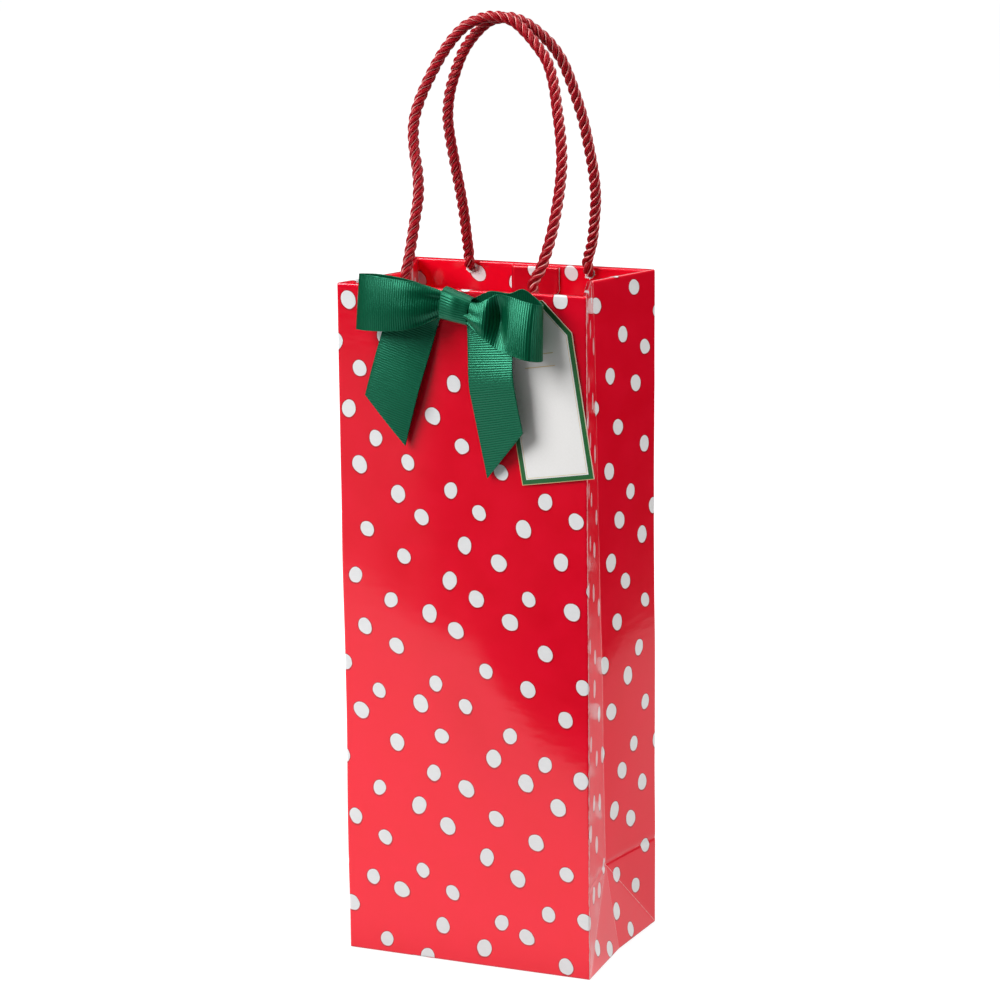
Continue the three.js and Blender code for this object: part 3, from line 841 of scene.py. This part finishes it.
def add_seam(layers):
    """The strip glued inside the left gusset's rear half."""
    heights = np.linspace(51, 283, 60)
    inward = np.linspace(0.6, 16, 9)
    grid = wall_point(inward[None, :], 0.62, heights[:, None])
    flat = np.stack(np.broadcast_arrays(inward[None, :], heights[:, None]), axis=-1)
    far = np.full(grid.shape[:2], FAR_FROM_FOLD)
    layers.add(crumple(grid), flat, PAPER, values={"fold_distance": far})


LAP_LEFT = -10
LAP_RIGHT = 15.4
LAP_TOP = 328.6
LAP_HEIGHT = 13.6
LAP_ROUND = 3.2  # how far the rounded corner cuts in


def make_hem_patch():
    """The printed lap on the rear hem, with a rounded corner, and slightly lifted edges."""
    layers = Layers()
    part = np.linspace(0, 1, 15)[None, :]
    drop = np.concatenate([[0, 0.03], np.linspace(0.08, 1, 14)])[:, None]
    corner = np.clip((drop - 0.78) / 0.22, 0, 1)
    right = LAP_RIGHT - LAP_ROUND * (1 - np.sqrt(1 - corner ** 2))
    x = right + (LAP_LEFT - right) * part
    z = LAP_TOP - LAP_HEIGHT * drop
    inset = HEM_INSET + PAPER + 0.12 + 0.25 * drop ** 2 + 0.3 * (part < 0.05) - 0.4 * (drop < 0.03)
    grid = crumple(np.stack(np.broadcast_arrays(x, HALF_DEPTH - inset, z), axis=-1))
    flat = np.stack([grid[..., 0] + 204, grid[..., 2]], axis=-1)
    near = np.full(grid.shape[:2], FAR_FROM_FOLD)
    near[:, 0] = 0
    near[:, 1] = 1.8
    near[0, :] = 0.3
    ones = np.ones(grid.shape[:2])
    # The lap is marked for painted shade, which darkens its red.
    values = {"fold_distance": near, "fold_wear": 0.8 * ones, "dark_ink": ones}
    layers.add(grid, flat, PAPER, values=values)
    patch = layers.piece("rear_hem_lap", [PRINT, PLAIN])
    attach(patch, "bag")
    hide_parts("rear_hem_patch")


HOLE_RADIUS = 1.55
TEETH = 22  # torn bits around one hole
BOX_FACES = [
    (0, 1, 2, 3), (7, 6, 5, 4), (0, 4, 5, 1), (1, 5, 6, 2), (2, 6, 7, 3), (3, 7, 4, 0),
]


def make_hole_rims():
    """Torn white paper standing up around the four punched holes."""
    rng = random.Random(12)
    points = []
    faces = []
    for side, route in ((-1, FRONT_ROUTE), (1, REAR_ROUTE)):
        for x in (route[0][0], route[-1][0]):
            for k in range(TEETH):
                a = 2 * math.pi * k / TEETH
                b = 2 * math.pi * (k + 0.92) / TEETH
                reach = rng.uniform(0.5, 1.5)
                lift = rng.uniform(0.25, 0.9)
                base = len(points)
                for out in (0.0, 0.12):
                    for angle, radius, rise in (
                        (a, HOLE_RADIUS, 0.0), (b, HOLE_RADIUS, 0.0),
                        (b, 1.75 + reach, lift * 0.6), (a, 1.75 + reach * 0.8, lift),
                    ):
                        y = side * (EXIT_DEPTH - 0.02 - rise - out)
                        z = EXIT_HEIGHT + radius * math.sin(angle)
                        points.append((x + radius * math.cos(angle), y, z))
                faces += [[base + c for c in face][::-side] for face in BOX_FACES]
    rims = make_piece("torn_hole_rims", points, faces, [PLAIN])
    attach(rims, "bag")


make_bag()
make_hem_patch()
make_hole_rims()

# ---- The bow ----

RIBBON_THICKNESS = 0.5
# Parts of the ribbon's width, closer together at its woven edges.
RIBBON_STEPS = [
    0, 0.008, 0.03, 0.07, 0.14, 0.22, 0.3, 0.38, 0.46, 0.54, 0.62, 0.7, 0.78, 0.86, 0.93, 0.97,
    0.992, 1,
]


def lay_ribbon(stations, pleats, width):
    """A grid along stations of (edge a, edge b, belly): points x, y, z of both edges, and how
    far the middle stands out to the front. A pleat is (place along the ribbon, height, waves
    across, phase, reach along). Returns the grid, its flat place, relief and length."""
    rows = []
    for a, b, belly in stations:
        middle = [(p + q) / 2 for p, q in zip(a, b)]
        rows.append([*middle, *a, *b, belly])
    line, at = spline(rows, RIB / 5)
    part = np.array(RIBBON_STEPS)
    low = line[:, None, 3:6]
    high = line[:, None, 6:9]
    grid = low + (high - low) * part[None, :, None]
    arch = 4 * part * (1 - part)
    way = np.array([0.0, -1.0, 0.0])
    belly = line[:, 9:10]
    swell = np.maximum(belly, 0) * arch + np.minimum(belly, 0) * arch ** 1.6
    grid = grid + swell[..., None] * way
    for distance, amount, waves, phase, fade in pleats:
        near = amount * np.exp(-((at - distance) / fade) ** 2)
        wave = np.cos(2 * math.pi * waves * part + phase)
        grid = grid + (near[:, None] * wave[None, :])[..., None] * way
    flat = np.stack(np.broadcast_arrays(width * part[None, :], at[:, None]), axis=-1)
    rib = 0.065 * np.cos(2 * math.pi * at / RIB)
    selvedge = np.where((part < 0.02) | (part > 0.98), 0.05, 0.0)
    relief = rib[:, None] * np.where(np.abs(part - 0.5) > 0.47, 0.5, 1.0) + selvedge
    return grid, flat, relief, at[-1]


def make_ribbon(name, stations, pleats=(), width=25.4):
    """A ribbed ribbon along its stations, and its length in millimetres."""
    grid, flat, relief, length = lay_ribbon(stations, pleats, width)
    layers = Layers()
    layers.add(grid, flat, RIBBON_THICKNESS, relief=relief)
    return layers.piece(name, [GROSGRAIN]), length


def make_bow():
    """Two flattened loops and the band around their middle."""
    left = [
        ((-1, -51.6, 319), (-1, -51.6, 329.6), 0.6),
        ((-6, -53.2, 318.3), (-6, -53, 330.6), 1.2),
        ((-13.5, -56.6, 314.6), (-13.5, -55.6, 333.2), 1.9),
        ((-21.5, -59.2, 312.2), (-21.2, -57.6, 334.8), 1.8),
        ((-31, -60, 311.2), (-30.4, -58, 335.8), 1.1),
        ((-40, -58.6, 310.6), (-38.6, -57, 336.4), 0.8),
        ((-46.2, -55.6, 310.3), (-44.4, -54.8, 336.5), 0.5),
        ((-49.4, -52.6, 310), (-47.4, -52.2, 336.2), 0.1),
        ((-48.2, -50, 310.2), (-46, -49.7, 336), 0),
        ((-40, -48.7, 310.8), (-38, -48.5, 335.8), 0),
        ((-24, -48.4, 312.4), (-24, -48.4, 334), 0),
        ((-10, -48.5, 317.5), (-10, -48.5, 330.2), 0),
        ((-1, -48.8, 318.8), (-1, -48.8, 329), 0),
    ]
    right = [
        ((1, -52, 317.8), (1, -52, 327.6), 0.5),
        ((7.5, -54.8, 316.4), (8.8, -53.6, 326.2), 0.9),
        ((13, -57.8, 313.7), (14.4, -55.6, 326.2), 1.4),
        ((18, -59.4, 310.4), (18.8, -56.4, 328.2), 1),
        ((21.4, -59.8, 308.2), (22, -56.4, 330), -2.8),
        ((24, -60, 306.5), (24.4, -56.2, 330.8), -5.6),
        ((26.8, -60.4, 305.4), (27.2, -56.2, 330.7), -3.4),
        ((30.5, -61.4, 304.4), (31, -56.4, 330), 0.2),
        ((36, -62.6, 303.1), (36.4, -57, 328.7), 1.2),
        ((40.4, -63, 302.2), (40.7, -57.2, 327.8), 1.2),
        ((42.6, -61.8, 301.6), (42.8, -56.8, 327.2), 0.9),
        ((44.2, -58.2, 300.9), (44.4, -55.4, 326.7), 0.5),
        ((44.9, -54, 300.5), (45.1, -53, 326.3), 0.1),
        ((42.8, -50, 301.2), (43, -50.2, 327.2), 0),
        ((36.5, -48.8, 306.8), (34.6, -50.2, 332.8), 0),
        ((28.5, -48.5, 309.4), (27.4, -49.8, 330.6), 0),
        ((18, -48.5, 312.6), (17.6, -49.6, 331), 0),
        ((9, -48.6, 317), (9, -49.2, 327.4), 0),
        ((1, -48.8, 318.6), (1, -48.8, 327.2), 0),
    ]
    knot = [
        ((-5.4, -46.5, 320), (7.2, -46.5, 317.4), 0),
        ((-5.8, -48.4, 318), (7.3, -48.4, 315.5), 0),
        ((-6, -52.8, 317.6), (7.5, -52.8, 315.1), 0.2),
        ((-6, -54.8, 319.4), (7.7, -54.6, 316.9), 0.7),
        ((-5.4, -55.4, 324.6), (8.4, -55.2, 321.4), 1),
        ((-4.6, -55, 329.8), (9.4, -54.8, 325.2), 0.7),
        ((-4.2, -53.2, 331.6), (9.8, -53, 327), 0.2),
        ((-3.9, -50, 332), (9.7, -50, 327.4), 0),
        ((-3.8, -47, 330.6), (9.4, -47, 326.2), 0),
    ]
    loops = [
        ("left", left, [(0, 0.9, 2.0, 1.6, 17), (9, 0.35, 3.0, 2.1, 8)]),
        ("right", right, [(0, 0.9, 2.0, 2.2, 13), (8, 0.4, 3.0, 0.4, 7)]),
    ]
    for side, stations, pleats in loops:
        piece, length = make_ribbon(f"bow_{side}_loop", stations, pleats)
        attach(piece, "bag")
        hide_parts(f"bow_loop_{side}")

    piece, length = make_ribbon("bow_knot_band", knot, [(16, 0.12, 2.0, 0.5, 15)], 14)
    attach(piece, "bag")
    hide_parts("bow_knot")


def cut_ribbon(piece, place, way):
    """Cuts a ribbon straight across by a plane and closes the cut."""
    work = bmesh.new()
    work.from_mesh(piece.data)
    bmesh.ops.bisect_plane(
        work, geom=work.verts[:] + work.edges[:] + work.faces[:], dist=1e-7,
        plane_co=Vector(place) * MM, plane_no=Vector(way), clear_outer=True,
    )
    rim = [edge for edge in work.edges if len(edge.link_faces) == 1]
    bmesh.ops.triangle_fill(work, edges=rim, use_beauty=True)
    bmesh.ops.recalc_face_normals(work, faces=work.faces[:])
    for face in work.faces:
        face.smooth = True
    work.to_mesh(piece.data)
    work.free()


def make_tails():
    """The two hanging ends. Each turns down just below its loop and is cut straight across at its
    lower end.
    """
    run = Vector((-0.286, 0, -0.958))
    wide = Vector((-0.958, 0, 0.286)) * 25.8
    top = Vector((-10.9, -47.0, 310.4))
    left = [
        ((-2.3, -47.6, 318.5), (-2.3, -47.6, 327.5), 0),
        ((-7.6, -47.2, 317.4), (-14, -47, 326), 0),
        ((-9.8, -47, 314.2), (-27.5, -46.8, 322), 0),
    ]
    # Distance down the tail, and how far its inner and outer edge stand forward there.
    hang = [
        (0, 0, 0), (9, 0.5, 0.9), (20, 1.5, 1.7), (32, 2.1, 1.9), (45, 1.6, 1.5), (57, 0.8, 0.9),
        (64, 0.3, 0.6),
    ]
    for distance, near, far in hang:
        inner = top + run * distance
        outer = inner + wide
        inner.y -= near
        outer.y -= far
        left.append((tuple(inner), tuple(outer), 0.45))
    right = [
        ((1.5, -47.6, 318.5), (1.5, -47.6, 326.5), 0),
        ((4.4, -47.2, 316.4), (12, -47.6, 325), 0),
        ((4.8, -47, 312), (23, -48.6, 318), 0),
        ((4.9, -47, 306), (28.6, -50.2, 309.4), 0.2),
        ((5.2, -47.4, 299), (29.6, -52.2, 301.5), 0.4),
        ((5.6, -48.2, 291.5), (30.2, -54, 295), 0.5),
        ((6.3, -48.6, 284), (31, -54.4, 288.5), 0.4),
        ((8.2, -48, 273), (32.4, -53.4, 278), 0.3),
        ((10.4, -47.2, 260.5), (34.4, -52.2, 266), 0.3),
        ((12.4, -46.7, 250), (36.2, -51.6, 255.6), 0.2),
        ((14.6, -46.5, 238.5), (38.2, -51.2, 244), 0.1),
    ]
    tails = [
        ("left", left, (-27.1, -47, 254.3), (-0.759, 0, -0.651), 0.3125, 0.3045, 0.8),
        ("right", right, (13.9, -47, 242), (0.757, 0, -0.653), 0.3040, 0.2955, 0.82),
    ]
    for side, stations, cut, way, start, end, left_after_cut in tails:
        piece, length = make_ribbon(f"bow_{side}_tail", stations)
        cut_ribbon(piece, cut, way)
        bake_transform(piece)
        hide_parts(f"bow_tail_{side}", f"bow_tail_root_{side}")


make_bow()
make_tails()

# ---- The tag ----

TAG_PIVOT = (37, 319.6)
TAG_TILT = 9
TAG_FRONT = -(HALF_DEPTH + 1.0 + 0.4)
TAG_OUTLINE = [(-18.2, -78), (18.2, -78), (18.2, -9.4), (6.2, 7), (-6.2, 7), (-18.2, -9.4)]


def inset_outline(outline, distance):
    """The outline moved inwards by distance, its corners kept sharp."""
    moved = []
    count = len(outline)
    for k in range(count):
        before, here, after = (Vector(outline[(k + n) % count]) for n in (-1, 0, 1))
        into = (here - before).normalized()
        onward = (after - here).normalized()
        normal_in = Vector((-into.y, into.x))
        normal_on = Vector((-onward.y, onward.x))
        middle = (normal_in + normal_on).normalized()
        moved.append(here + middle * (distance / middle.dot(normal_in)))
    return moved


def make_tag():
    """White card, printed with a green border between thin gold lines, and two gold rules."""
    white, green, gold = range(3)
    # Where each band starts, inwards from the card's edge.
    steps = [(0.0, gold), (0.32, green), (2.45, white), (2.95, gold), (3.2, white), (7.0, white)]
    points = []
    faces = []
    kinds = []
    split = 12
    for distance, _ in steps:
        corners = inset_outline(TAG_OUTLINE, distance)
        for k, corner in enumerate(corners):
            after = corners[(k + 1) % len(corners)]
            for n in range(split):
                points.append(corner + (after - corner) * n / split)
    ring = split * len(TAG_OUTLINE)
    for level, (_, kind) in enumerate(steps[:-1]):
        for k in range(ring):
            a = level * ring + k
            b = level * ring + (k + 1) % ring
            faces.append([a, b, b + ring, a + ring])
            kinds.append(kind)
    faces.append([(len(steps) - 1) * ring + k for k in range(ring)])
    kinds.append(white)
    back_face = len(points)
    points += points[:ring]
    for k in range(ring):
        after = (k + 1) % ring
        faces.append([k, back_face + k, back_face + after, after])
        kinds.append(white)
    faces.append([back_face + k for k in range(ring)][::-1])
    kinds.append(white)

    tilt = math.radians(TAG_TILT)

    def place(point, back):
        x, z = point
        bow = 0.35 * math.cos(x / 18.2 * 1.4) - 0.25
        return (
            TAG_PIVOT[0] + x * math.cos(tilt) - z * math.sin(tilt),
            TAG_FRONT + back - bow,
            TAG_PIVOT[1] + x * math.sin(tilt) + z * math.cos(tilt),
        )

    solid = [place(p, 0.4 if i >= back_face else 0) for i, p in enumerate(points)]
    for width, height in ((15, -17.5), (15, -23.5)):
        base = len(solid)
        for x, z in ((-width / 2, height - 0.2), (width / 2, height - 0.2),
                     (width / 2, height + 0.2), (-width / 2, height + 0.2)):
            solid.append(place((x, z), -0.03))
        faces.append([base, base + 1, base + 2, base + 3])
        kinds.append(gold)
    tag = make_piece("gift_tag", solid, faces, [CARD_WHITE, TAG_GREEN, GOLD_FOIL], kinds)
    tag.data.polygons.foreach_set("use_smooth", [False] * len(faces))
    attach(tag, "tag")
    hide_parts("tag_card")


make_tag()

# ---- CAD pieces that keep their shape ----


def finish_nodes(names, material):
    """Gives the named CAD nodes one material."""
    for name in names:
        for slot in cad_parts[name].material_slots:
            slot.material = material


finish_nodes(["front_top_board", "rear_top_board", "base_board"], GREY_BOARD)
for row in ("front", "rear"):
    finish_nodes([f"{row}_handle_tip_left", f"{row}_handle_tip_right"], WHITE_PLASTIC)
finish_nodes(["bow_glue_pad", "tag_glue_dot"], CLEAR_GLUE)

# ---- Studio ----


def hide_from(item, *rays):
    """Keeps a surface of the studio out of the named kinds of light ray."""
    for ray in rays:
        setattr(item, f"visible_{ray}", False)


def make_flat(name, outline, height, material):
    """A level surface of the studio. Its outline is in metres."""
    mesh = bpy.data.meshes.new(name)
    mesh.from_pydata([(x, y, height) for x, y in outline], [], [list(range(len(outline)))])
    mesh.materials.append(material)
    piece = bpy.data.objects.new(name, mesh)
    bpy.context.collection.objects.link(piece)
    return piece


def make_floor():
    """A plain pale floor for the camera, and under it a grey one that gives back light."""
    s = Shader("pale_floor", Roughness=0.9, Base_Color=(0.3, 0.3, 0.3), Emission_Color=(1, 1, 1))
    from_middle = s.vector("LENGTH", s.place(), (0, 0, 0))
    s.look(Emission_Strength=s.ramp(from_middle, 0.1, 0.6, 0.8, 1.0))
    ring = [(15 * math.cos(a), 15 * math.sin(a)) for a in np.linspace(0, 2 * math.pi, 65)[:-1]]
    floor = make_flat("floor", ring, -0.0003, s.material)
    hide_from(floor, "diffuse", "glossy", "transmission", "shadow")

    s = Shader("table_bounce", Roughness=0.9, Base_Color=(0.36, 0.36, 0.36))
    table = make_flat("table", [(x / 10, y / 10) for x, y in ring], -0.0006, s.material)
    hide_from(table, "camera", "glossy", "transmission")


def make_glow(name, outline, way, span, strength):
    """A lit surface that only glossy paper sees. Its strength changes along a direction."""
    s = Shader(name, Roughness=1.0, Base_Color=(0, 0, 0), Emission_Color=(1, 1, 1))
    along = s.vector("DOT_PRODUCT", s.place(), way)
    s.look(Emission_Strength=s.ramp(along, *span, *strength))
    glow = make_flat(name, outline, 0.0, s.material)
    hide_from(glow, "camera", "diffuse", "transmission", "shadow")


def make_light(name, place, size, power, colour=(1, 1, 1)):
    """A soft light, aimed at the bag's middle."""
    aim = Vector((0, 0, 0.2))
    data = bpy.data.lights.new(name, "AREA")
    data.shape = "RECTANGLE"
    data.size, data.size_y = size
    data.energy = power
    data.color = colour
    light = bpy.data.objects.new(name, data)
    bpy.context.collection.objects.link(light)
    light.location = place
    light.rotation_mode = "QUATERNION"
    light.rotation_quaternion = (aim - Vector(place)).to_track_quat("-Z", "Y")


def make_world():
    """A white surround for the camera. It gives no light and isn't reflected."""
    world = bpy.data.worlds.new("studio")
    world.use_nodes = True
    sky = world.node_tree.nodes["Background"]
    sky.inputs["Color"].default_value = (1, 1, 1, 1)
    sky.inputs["Strength"].default_value = 1.0
    bpy.context.scene.world = world
    world.cycles_visibility.glossy = False
    world.cycles_visibility.diffuse = False


make_floor()
# The lit table ends where the paper's reflection turns dark.
make_glow("table_glow", [
    (-0.091, -0.401), (0.25, -0.15), (0.53, 0.355), (0.45, 0.8), (0.0, 1.0), (-0.8, 0.7),
    (-1.0, -0.3), (-0.65, -0.85), (-0.33, -0.673), (-0.246, -0.616), (-0.181, -0.513),
], (0, 1, 0), (-0.1, 0.02), (1.2, 0.62))
make_glow(
    "far_glow", [(-0.2, -0.7), (-0.5, -1.8), (-1.5, -1.6), (-0.8, -0.5)],
    (1, -0.42, 0), (-0.14, 0.01), (0.5, 0.0),
)
make_world()
make_light("key", (-1.32, -1.32, 1.42), (1.3, 1.3), 60)
make_light("right", (2.4, 0.3, 1.2), (1.2, 1.2), 39, colour=(1, 0.99, 0.97))
make_light("top", (0.1, 0.3, 2.6), (2.0, 2.0), 30)
make_light("back", (0.6, 2.3, 1.7), (1.8, 1.4), 20)
bpy.context.scene.view_settings.view_transform = "Standard"
